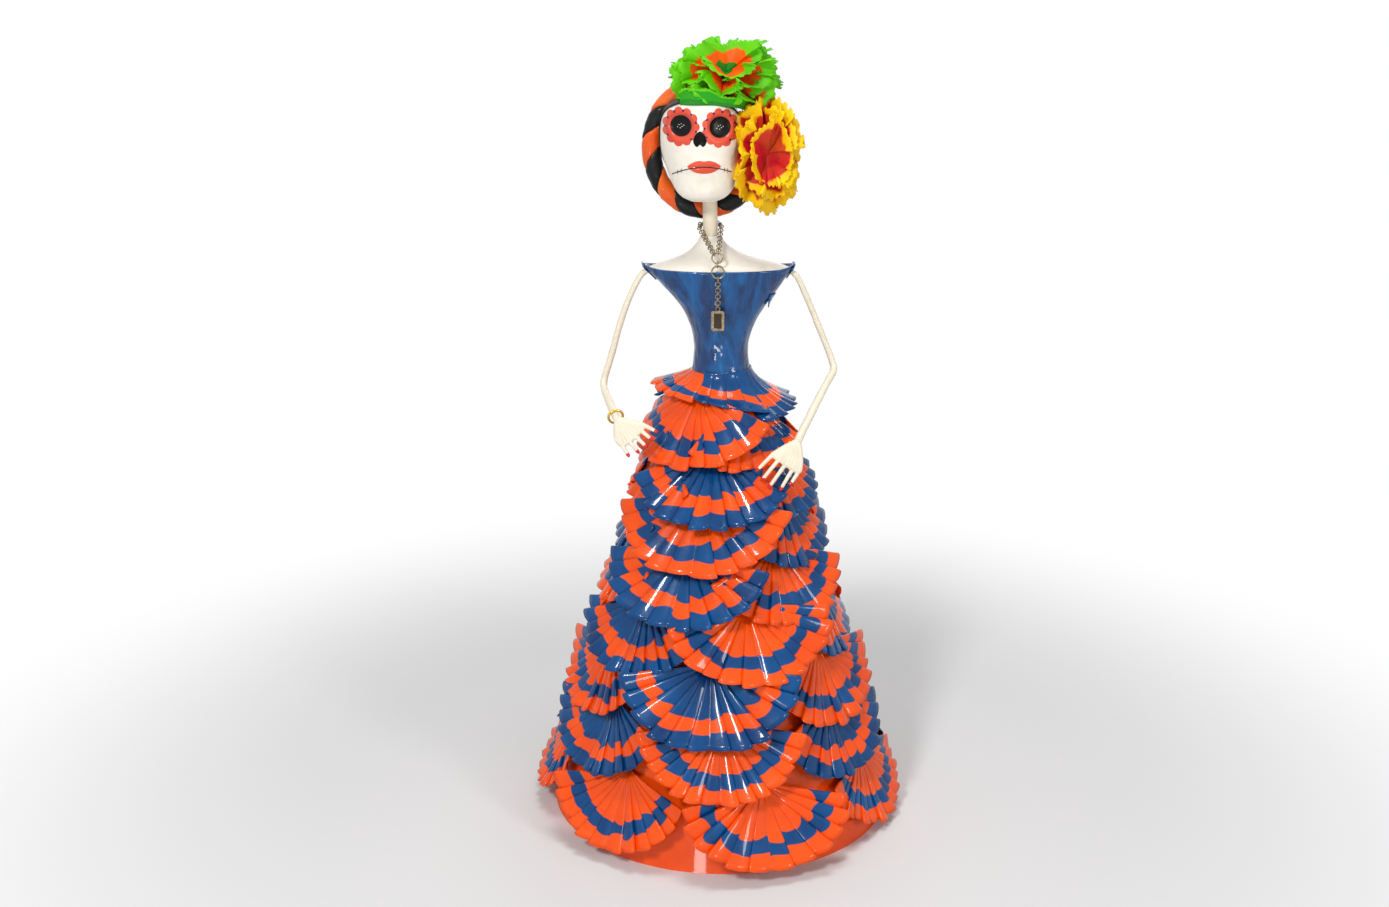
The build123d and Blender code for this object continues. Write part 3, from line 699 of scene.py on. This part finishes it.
# Glints of painted highlight: white dots in each socket, across and up from the eye's middle.
EYE_GLINTS = [(-1.2, 0.7), (0.9, -0.5), (0.2, 1.3), (-0.4, -1.5), (2.1, 0.4), (-2.4, -0.8)]
NOSE = (-17.6, 529.5)
MOUTH = (-14.6, 510.6)
STITCHES = (-33.5, -31.0, 0.0, 2.0)
CHIN_HEIGHT, CHEEK_HEIGHT = 491.0, 523.0
JAW_SHIFT = 2.6
SQUARENESS = 0.92               # below 1 the head's sections are squarer than ovals


def head_middle(height):
    """Sideways place of the middle of the head; the jaw hangs a little to the figure's left."""
    down = max(0.0, min(1.0, (522.0 - height) / 30.0))
    return HEAD_SHIFT + JAW_SHIFT * down * down * (3 - 2 * down)


def head_point(height, angle, grow=0.0):
    """Point on the head's plain outline, from the figure's left round by the face, moved out by grow."""
    half_width, half_depth, forward = blend_table(SKULL, height)
    c, s = cos(angle), sin(angle)
    return Vector((head_middle(height) + (half_width + grow) * copysign(abs(c) ** SQUARENESS, c),
                   -forward - (half_depth + grow) * copysign(abs(s) ** SQUARENESS, s), height))


def bell(across, up, width, height):
    """1 at the middle of an oval bump and falling smoothly to 0 round it."""
    return exp(-(across / width) ** 2 - (up / height) ** 2)


def face_relief(x, z, front):
    """How far the face moves forward at a place: sockets, nose, lips, chin and cheekbones."""
    relief = 0.0
    for eye_x, eye_z in EYES:
        distance = hypot(x - eye_x, z - eye_z)
        relief -= 3.4 / (1 + exp((distance - EYE_RADIUS) / 0.9))
        relief += 0.9 * exp(-((distance - EYE_RADIUS - 2.4) / 2.2) ** 2)
    relief -= 2.0 * bell(x - NOSE[0], z - NOSE[1], 4.0, 4.4)
    relief += 1.0 * bell(x - NOSE[0], z - NOSE[1] - 1, 7.0, 9.0)
    relief += 1.5 * bell(x - MOUTH[0], z - MOUTH[1], 13.0, 5.0)
    relief -= 0.8 * bell(x - MOUTH[0], z - MOUTH[1], 12.0, 0.9)
    relief += 1.4 * bell(x - MOUTH[0], z - CHIN_HEIGHT, 11.0, 6.0)
    for side in (-1, 1):
        relief += 1.2 * bell(x - HEAD_SHIFT - side * 20, z - CHEEK_HEIGHT, 7.0, 7.0)
    return relief * front


def make_skull():
    """The head; returns its surface, which the face paint is laid on."""
    rows, columns = 150, 200
    vertices = []
    low, high = SKULL[0][0], SKULL[-1][0]
    for i in range(rows):
        share = i / (rows - 1)
        height = low + (high - low) * (0.5 - 0.5 * cos(pi * share))
        for j in range(columns):
            angle = 2 * pi * j / columns
            point = head_point(height, angle)
            front = max(0.0, min(1.0, (sin(angle) - 0.15) / 0.4))
            point.y -= face_relief(point.x, height, front)
            vertices.append(point)
    faces = [tuple(reversed(face)) for face in closed_tube_faces(rows, columns)]
    skull = piece("skull_paper", (vertices, faces), cream)
    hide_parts("skull")
    return BVHTree.FromPolygons(vertices, faces)


head_surface = make_skull()


# Height, and how far past the side of the head the hair comes forward, in degrees.
HAIRLINE = [(493.0, -24.0), (505.0, -14.0), (520.0, -6.0), (540.0, 4.0), (550.0, 22.0), (555.0, 56.0),
            (558.5, 88.0)]


def make_hair():
    """Thin black hair over the back of the head, from the nape to a line across the forehead."""
    rows, columns = 60, 110
    vertices = []
    low, high = HAIRLINE[0][0], HAIRLINE[-1][0]
    for i in range(rows):
        height = low + (high - low) * sin(0.5 * pi * i / (rows - 1))
        (past,) = blend_table(HAIRLINE, height)
        for j in range(columns):
            angle = radians(180 - past + (180 + 2 * past) * j / (columns - 1))
            grow = 0.8 + 0.35 * noise.noise(Vector((cos(angle) * 3, sin(angle) * 3, height * 0.12)))
            point = head_point(height, angle, grow)
            point.z += 0.8 * i / (rows - 1)
            vertices.append(point)
    faces = grid_faces(rows, columns)
    peak = len(vertices)
    vertices.append(Vector((head_middle(high), -blend_table(SKULL, high)[2], high + 0.9)))
    faces += [(peak - columns + j, peak - columns + j + 1, peak) for j in range(columns - 1)]
    hair = piece("hair_paper", (vertices, faces), black_paint, "black_painted_paper")
    thicken(hair, 0.6, 0.0)
    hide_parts("hair_cap")


make_hair()


def on_face(x, z, raise_by):
    """Point on the front of the head at x and z, raised by a paint's thickness."""
    hit, normal, _, _ = head_surface.ray_cast(Vector((x, -80, z)), Vector((0, 1, 0)))
    if hit is None:
        return None
    if normal.y > 0:
        normal = -normal
    return hit + normal * raise_by


def face_paint(name, outline, material, raise_by, inner=0.0, rings=14, steps=96):
    """Painted patch on the face. outline gives (x, z) at an angle and a share of the way out."""
    vertices = []
    for ring_index in range(rings + 1):
        share = inner + (1 - inner) * ring_index / rings
        for step in range(steps):
            x, z = outline(2 * pi * step / steps, share)
            vertices.append(on_face(x, z, raise_by) or Vector((x, 0, z)))
    faces = grid_faces(rings + 1, steps, closed=True)
    if inner == 0.0:
        faces = [face for face in faces if face[2] >= steps]
    piece(name, (vertices, faces), material)


def blob(centre, radius_x, radius_z, petals=0, petal_depth=0.0):
    """Outline of a round or scalloped patch."""
    def outline(angle, share):
        scallop = 1.0 + petal_depth * (abs(cos(petals * angle / 2)) ** 0.6 - 0.6) * share**2 if petals else 1.0
        reach = share * scallop
        return centre[0] + radius_x * reach * cos(angle), centre[1] + radius_z * reach * sin(angle)
    return outline


def make_eye_paint():
    """Scalloped petals round each socket, the dark socket, violet dots on the petals and white dots of painted
    highlight inside.
    """
    dots, glints = [], []
    for side, shift, (eye_x, eye_z) in (("right", -0.2, EYES[0]), ("left", 0.3, EYES[1])):
        petal_z = eye_z - PETALS_DOWN
        face_paint(f"{side}_eye_petals", blob((eye_x + shift, petal_z), 12.6, 12.8, EYE_PETALS, 0.20),
                   coral_paint, 0.10, inner=0.50)
        face_paint(f"{side}_eye_socket", blob((eye_x, eye_z), EYE_RADIUS, EYE_RADIUS * 0.98),
                   socket_paint, 0.14, rings=22)
        glints += [face_dot((eye_x + across, eye_z + up), 0.30) for across, up in EYE_GLINTS]
        for step in range(EYE_PETALS):
            angle = 2 * pi * (step + 0.5) / EYE_PETALS
            if abs(angle - pi * 1.5) > 0.5:
                dots.append(face_dot((eye_x + DOT_RING * cos(angle), petal_z + DOT_RING * sin(angle)), 0.85))
    violet = glossy_paint("violet_dots", VIOLET, (0.06, 0.0, 0.08), wrinkle=0.05)
    piece("violet_dots", merge(filter(None, dots)), violet)
    # White dots of painted highlight in the sockets.
    piece("eye_glints", merge(filter(None, glints)), cream_paint("painted_highlight_dots", (0.9, 0.88, 0.86), CREAM, 0.2))


def face_dot(centre, size, sides=12):
    """Small round dot of paint on the face, or None where it would run over the edge."""
    points = [on_face(*centre, 0.22)]
    for step in range(sides):
        angle = 2 * pi * step / sides
        points.append(on_face(centre[0] + size * cos(angle), centre[1] + size * sin(angle), 0.2))
    if None in points:
        return None
    return points, [(0, 1 + k, 1 + (k + 1) % sides) for k in range(sides)]


def nose_outline(angle, share):
    """Upside-down heart."""
    c, s = cos(angle), sin(angle)
    width = 4.9 * (1.0 - 0.30 * max(s, 0.0) ** 1.3)
    notch = 2.3 * exp(-(c / 0.30) ** 2) if s < 0 else 0.0
    return NOSE[0] + width * share * c, NOSE[1] + share * ((6.2 if s > 0 else 5.6) * s + notch)


def lips_outline(angle, share):
    """Two lips that meet in points, with a shallow bow in the upper one."""
    c, s = cos(angle), sin(angle)
    half = 4.6 if s > 0 else 4.9
    bow = 1.0 - 0.16 * exp(-(c / 0.20) ** 2) if s > 0 else 1.0
    shape = (1 - abs(c) ** 2.4) ** 0.9
    return MOUTH[0] + 12.2 * share * c, MOUTH[1] + share * half * bow * copysign(shape, s)


def mouth_line_height(x):
    """Height of the line that droops on both sides of the lips."""
    return MOUTH[1] - 0.4 - 5.0 * (abs(x - MOUTH[0]) / 21.5) ** 2.2


def make_mouth_line():
    """Thin black line from cheek to cheek under the lips, with stitches near its ends."""
    line = []
    for step in range(61):
        x = -37.5 + 42.5 * step / 60
        line.append(on_face(x, mouth_line_height(x), 0.22))
    parts = [tube(line, [0.32, 0.32], sides=8)]
    for x in STITCHES:
        stitch = [on_face(x, mouth_line_height(x) + 1.6 - 0.8 * k, 0.2) for k in range(5)]
        parts.append(tube(stitch, [0.16, 0.16], sides=6))
    piece("mouth_line", merge(parts), black_paint, "black_painted_paper")


make_eye_paint()
face_paint("nose_hollow", nose_outline, socket_paint, 0.14)
face_paint("lips", lips_outline, coral_paint, 0.16, rings=10)
make_mouth_line()


# ---- braid

BRAID_CENTRE = Vector((-13.5, 11.2, 520.5))
BRAID_HALF = (39.9, 45.2)
BRAID_START, BRAID_END = 112.0, 385.0   # degrees from the figure's left, over the top
BRAID_TWISTS = 5.5
STRIP_OFFSET = 3.6              # from the middle of the braid to the middle of a strip
STRIP_HALF = (3.7, 6.4)


def braid_strand(name, node_name, phase, material, slot):
    """One of the two flat strips that are twisted into the ring round the head."""
    start, end = radians(BRAID_START), radians(BRAID_END)
    count, ring_sides = 260, 18
    points, sides = [], []
    for index in range(count):
        t = index / (count - 1)
        angle = start + (end - start) * t
        out = Vector((cos(angle), 0, sin(angle)))
        twist = phase + 2 * pi * BRAID_TWISTS * t
        centre = BRAID_CENTRE + Vector((BRAID_HALF[0] * cos(angle), 0, BRAID_HALF[1] * sin(angle)))
        offset = out * cos(twist) + Vector((0, 1, 0)) * sin(twist)
        points.append(centre + offset * STRIP_OFFSET)
        sides.append((out, twist))
    vertices = []
    for index, point in enumerate(points):
        ahead = (points[min(index + 1, count - 1)] - points[max(index - 1, 0)]).normalized()
        out, twist = sides[index]
        radial = out * cos(twist) + Vector((0, 1, 0)) * sin(twist)
        radial = (radial - ahead * radial.dot(ahead)).normalized()
        across = ahead.cross(radial)
        crumple = 0.5 * noise.noise(point * 0.25)
        for step in range(ring_sides):
            angle = 2 * pi * step / ring_sides
            vertices.append(point + radial * (STRIP_HALF[0] + crumple) * cos(angle)
                            + across * (STRIP_HALF[1] + crumple) * sin(angle))
    strand = piece(name, (vertices, closed_tube_faces(count, ring_sides)), material, slot)
    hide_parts(node_name)


braid_strand("braid_black_strip", "braid_black", 0.0, black_paint, "black_painted_paper")
braid_strand("braid_orange_strip", "braid_orange", pi, orange_strip, "orange_painted_paper")


# ---- flowers

PINKED_EDGE = 0.028             # of a petal's reach
RUFFLE_DEPTH = 0.46             # of the flower's mean radius
PETAL_PAPER = 0.5


def ruffle(centre, side, up, axis, half_width, half_height, rise, slope, waves, swing, rng):
    """One ruffled paper ring with a pinked edge, gathered at its heart, as vertices, faces and UVs."""
    rows, columns = 15, 480
    mean = (half_width + half_height) * 0.5
    seed = rng.uniform(0, 100)
    first = rng.uniform(0, 2 * pi)
    vertices, uvs = [], []
    for i in range(rows):
        t = 0.01 + 0.99 * i / (rows - 1)
        for j in range(columns):
            angle = 2 * pi * j / columns
            around = Vector((cos(angle), sin(angle), seed))
            phase = waves * angle + first + 2.4 * noise.noise(around * 1.1)
            size = 1.0 + 0.7 * noise.noise(around * 1.4 + Vector((0, 0, 5)))
            turned = angle + swing * size * sin(2 * phase + 0.7) * t / waves
            reach = 1.0 + 0.16 * noise.noise(around * 1.6 + Vector((0, 0, 9))) - 0.07 * sin(phase) ** 2
            pink = PINKED_EDGE * (1 if j % 6 < 3 else -1) if i == rows - 1 else 0.0
            flat = (reach + pink) * t
            height = rise + mean * (slope * t**1.25 + RUFFLE_DEPTH * size * sin(phase) * t**1.1)
            height -= mean * 0.10 * t**4 * (1 + sin(phase))
            point = centre + side * (half_width * flat * cos(turned)) + up * (half_height * flat * sin(turned))
            point += axis * height + Vector(noise.noise_vector(point * 0.06)) * 2.0 * t
            vertices.append(point)
            uvs.append((j / columns, t * (0.90 + 0.13 * sin(phase))))
    return vertices, grid_faces(rows, columns, closed=True), uvs


def flower(nodes, centre, axis, half_width, half_height, layers, material, slot, seed):
    """Ruffled rings in layers, wide and flat outside and upright at the heart."""
    rng = random.Random(seed)
    axis = Vector(axis).normalized()
    side = Vector((0, 0, 1)).cross(axis).normalized()
    up = axis.cross(side)
    for node_name, rings in zip(nodes, layers):
        parts = [ruffle(Vector(centre), side, up, axis, half_width * share, half_height * share,
                        rise, slope, waves, swing, rng) for share, rise, slope, waves, swing in rings]
        bloom = piece(node_name.replace("_flower", "_petals"), merge(parts), material, slot)
        thicken(bloom, PETAL_PAPER, 0.0)
        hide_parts(node_name)


def make_forehead_petal():
    """Dark green petal that cups the top of the forehead, with a bright curled edge."""
    rows, columns = 12, 90
    vertices, uvs = [], []
    for i in range(rows):
        t = i / (rows - 1)
        for j in range(columns):
            s = j / (columns - 1)
            angle = radians(-38 + 122 * s)
            reach = 25.0 + 1.6 * sin(9.0 * s) + 4.0 * t**2 * (0.4 + s)
            x = -14.0 + (reach + 4.0) * sin(angle)
            y = -3.0 - reach * cos(angle) * (0.86 - 0.10 * t)
            z = 553.5 - 6.5 * s**3 + 12.0 * t * (0.75 + 0.25 * sin(7 * s)) + 0.8 * sin(21 * s) * t
            vertices.append(Vector((x, y, z + (0.5 if i == rows - 1 and j % 4 < 2 else 0.0))))
            uvs.append((s, t))
    shape = (vertices, grid_faces(rows, columns), uvs)
    petal = piece("forehead_petal", shape, forehead_green, "green_petal_paper")
    thicken(petal, PETAL_PAPER, 0.0)


# Each ring: share of the reach, height on the flower's axis, upward slope, waves and sideways swing.
GREEN_RINGS = [
    [(1.0, 0.0, 0.12, 7, 1.15), (0.84, 3.0, 0.38, 6, 1.2)],
    [(0.60, 6.0, 0.80, 4, 1.2)],
]
YELLOW_RINGS = [
    [(1.0, 0.0, 0.10, 7, 1.15), (0.84, 3.0, 0.36, 6, 1.2)],
    [(0.60, 5.0, 0.75, 4, 1.2)],
]
flower(("green_flower_outer", "green_flower_inner"), (1.5, 0.0, 571.5), (0.05, -0.66, 0.75),
       41.0, 29.0, GREEN_RINGS, green_petals, "green_petal_paper", 21)
make_forehead_petal()
flower(("yellow_flower_outer", "yellow_flower_inner"), (31.0, -10.0, 518.5), (0.16, -0.98, 0.03),
       26.5, 41.0, YELLOW_RINGS, yellow_petals, "yellow_petal_paper", 22)


# ---- arms and hands

RIGHT_ARM = [
    (-55.0, 0.0, 431.5), (-62.0, 0.0, 426.5), (-71.0, 0.5, 409.0), (-78.5, 2.0, 388.0), (-85.5, 4.0, 363.0),
    (-91.0, 4.0, 345.0), (-90.0, -3.0, 338.0), (-84.5, -25.0, 332.0), (-78.5, -46.0, 326.5),
]
LEFT_ARM = [
    (49.0, 0.0, 431.0), (56.0, 0.0, 425.0), (65.0, 1.0, 406.0), (76.0, 2.0, 380.0), (83.5, 2.0, 361.0),
    (84.5, -2.0, 353.5), (78.0, -13.0, 345.0), (66.0, -30.0, 327.0), (55.0, -47.0, 309.8),
]
ARM_RADII = [1.9, 2.2, 2.3, 2.4, 2.5, 2.7, 2.7, 3.0, 3.0]


def make_arm(name, node_name, path):
    """Paper wound round the arm's wire, a little lumpy."""
    arm = piece(name, tube(smooth_path(path, 10), ARM_RADII, lump=0.10, seed=len(name)), arm_cream)
    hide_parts(node_name, f"{node_name}_wire")


make_arm("right_arm_paper", "right_arm", RIGHT_ARM)
make_arm("left_arm_paper", "left_arm", LEFT_ARM)


HAND_VOXEL = 0.42
NAIL_STEP = 0.75
NAIL_RADII = [1.25, 1.42, 1.42, 1.35, 1.1, 0.4]


def make_hand(name, node_name, wrist, knuckles, tips, heel):
    """Broad flat palm and short straight paper fingers, fused by a voxel remesh, with painted nails."""
    wrist = Vector(wrist)
    knuckles, tips, heel = ([Vector(point) for point in points] for points in (knuckles, tips, heel))
    parts, nails = [], []
    rim = knuckles + heel
    for end in rim + [a.lerp(b, 0.5) for a, b in zip(rim, rim[1:])]:
        palm = smooth_path([wrist, wrist.lerp(end, 0.5), end], 6)
        parts.append(tube(palm, [2.9, 2.9, 2.0], sides=16))
    parts.append(tube(smooth_path(rim, 6), [2.0, 2.0], sides=14))
    parts.append(tube(smooth_path([wrist.lerp(end, 0.55) for end in rim], 6), [2.4, 2.4], sides=14))
    for knuckle, tip in zip(knuckles, tips):
        finger = smooth_path([knuckle, knuckle.lerp(tip, 0.5) + Vector((0, -0.4, 0.2)), tip], 7)
        parts.append(tube(finger, [1.7, 1.5, 1.3], sides=14))
        ahead = (tip - knuckle).normalized()
        points = [tip + ahead * (k * NAIL_STEP - 1.9) for k in range(len(NAIL_RADII))]
        nails.append(tube(points, NAIL_RADII, sides=14))
    hand = piece(name, merge(parts), arm_cream)
    remesh = hand.modifiers.new("fuse", "REMESH")
    remesh.mode = "VOXEL"
    remesh.voxel_size = HAND_VOXEL * MM
    remesh.use_smooth_shade = True
    soften = hand.modifiers.new("soften", "SMOOTH")
    soften.factor, soften.iterations = 0.5, 4
    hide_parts(node_name)
    piece(name.replace("hand_paper", "nails"), merge(nails), nail_paint)


make_hand("right_hand_paper", "right_hand", RIGHT_ARM[-1],
          [(-58.5, -52.0, 324.0), (-61.5, -52.0, 320.5), (-65.5, -52.0, 316.0), (-70.0, -52.0, 311.9),
           (-75.5, -50.5, 309.0)],
          [(-50.0, -55.0, 320.5), (-53.5, -55.0, 314.5), (-57.5, -55.0, 309.0), (-63.5, -55.0, 304.8),
           (-70.8, -53.5, 301.8)],
          [(-79.5, -49.0, 313.0)])
make_hand("left_hand_paper", "left_hand", LEFT_ARM[-1],
          [(36.0, -57.5, 303.0), (41.0, -58.0, 299.8), (46.0, -58.0, 296.2), (51.5, -57.5, 292.5),
           (56.0, -56.0, 290.0)],
          [(25.0, -61.0, 292.5), (28.8, -61.0, 285.2), (34.2, -61.5, 279.8), (42.7, -61.0, 278.0),
           (50.0, -60.0, 281.5)],
          [(57.5, -53.0, 296.0)])


# ---- stage, lights, camera

def camera_ray_share(tree):
    """1 for rays that show the background as it is, 0 for rays that light the object."""
    path = tree.nodes.new("ShaderNodeLightPath")
    share = path.outputs["Is Camera Ray"]
    for output in ("Is Glossy Ray", "Is Transmission Ray"):
        either = tree.nodes.new("ShaderNodeMath")
        either.operation = "MAXIMUM"
        tree.links.new(share, either.inputs[0])
        tree.links.new(path.outputs[output], either.inputs[1])
        share = either.outputs[0]
    return share


FLOOR_HALF = 6.0
FLOOR_FADE = (0.30, 0.75)       # metres from the middle, from pale floor to plain white
WORLD_LEVEL = 0.28              # of the light from all round; the camera sees 1, plain white


def make_stage():
    """Pale floor that takes the shadow near the figure and fades to plain white further off."""
    mesh = bpy.data.meshes.new("floor")
    corners = [(-1, -1), (1, -1), (1, 1), (-1, 1)]
    mesh.from_pydata([Vector((x, y, 0)) * FLOOR_HALF for x, y in corners], [], [(0, 1, 2, 3)])
    floor = bpy.data.objects.new("floor", mesh)
    bpy.context.scene.collection.objects.link(floor)
    n = Nodes("pale_floor")
    n.set(Base_Color=(0.80, 0.80, 0.80, 1.0), Roughness=0.9, Specular_IOR_Level=0.0)
    length = n.add("VectorMath")
    length.operation = "LENGTH"
    n.link(n.place(), length.inputs[0])
    fade = n.add("MapRange", Value=length.outputs["Value"], From_Min=FLOOR_FADE[0], From_Max=FLOOR_FADE[1])
    fade.interpolation_type = "SMOOTHSTEP"
    white, mix = n.add("Emission"), n.add("MixShader")
    n.link(n.math("MULTIPLY", fade.outputs["Result"], camera_ray_share(n.tree)), mix.inputs[0])
    n.tree.links.new(n.shader.outputs[0], mix.inputs[1])
    n.tree.links.new(white.outputs[0], mix.inputs[2])
    n.tree.links.new(mix.outputs[0], n.tree.nodes["Material Output"].inputs["Surface"])
    floor.data.materials.append(n.material)


def area_light(name, place, target, size, power):
    """Rectangular lamp of a size in metres, aimed at a target."""
    lamp = bpy.data.lights.new(name, "AREA")
    lamp.shape = "RECTANGLE"
    lamp.energy, lamp.size, lamp.size_y = power, size[0], size[1]
    thing = bpy.data.objects.new(name, lamp)
    thing.location = place
    direction = Vector(target) - Vector(place)
    thing.rotation_euler = direction.to_track_quat("-Z", "Y").to_euler()
    bpy.context.scene.collection.objects.link(thing)


def make_lights():
    """Soft studio lamps, and an even pale world."""
    target = (0, 0, 0.3)
    area_light("key_light", (-0.7, -1.5, 1.5), target, (0.28, 0.28), 20.0)
    area_light("fill_light", (1.3, -1.4, 0.9), target, (0.35, 0.35), 8.0)
    area_light("top_light", (0.1, -0.2, 1.9), target, (0.6, 0.5), 10.0)
    area_light("low_light", (-0.30, -1.3, 0.07), (0.0, 0.0, 0.38), (0.16, 0.16), 1.8)
    area_light("back_light", (0.3, 1.6, 0.9), target, (1.2, 0.8), 5.0)
    world = bpy.data.worlds.new("studio")
    bpy.context.scene.world = world
    world.use_nodes = True
    tree = world.node_tree
    background = tree.nodes["Background"]
    level = tree.nodes.new("ShaderNodeMapRange")
    level.inputs["To Min"].default_value = WORLD_LEVEL
    level.inputs["To Max"].default_value = 1.0
    tree.links.new(camera_ray_share(tree), level.inputs["Value"])
    background.inputs["Color"].default_value = (1.0, 1.0, 1.0, 1.0)
    tree.links.new(level.outputs[0], background.inputs["Strength"])


CAMERA_PLACE = (-0.0215, -1.151, 0.628)
CAMERA_DOWN = 16.5              # degrees below level
LENS, SENSOR = 40.0, 36.0


def make_camera():
    """The photograph's view, fitted to the round base and the height."""
    camera = bpy.data.cameras.new("camera")
    camera.lens, camera.sensor_width = LENS, SENSOR
    camera.dof.use_dof = False
    thing = bpy.data.objects.new("camera", camera)
    thing.location = CAMERA_PLACE
    thing.rotation_euler = (radians(90.0 - CAMERA_DOWN), 0.0, 0.0)
    bpy.context.scene.collection.objects.link(thing)
    bpy.context.scene.camera = thing


make_stage()
make_lights()
make_camera()
bpy.context.scene.view_settings.view_transform = "Standard"
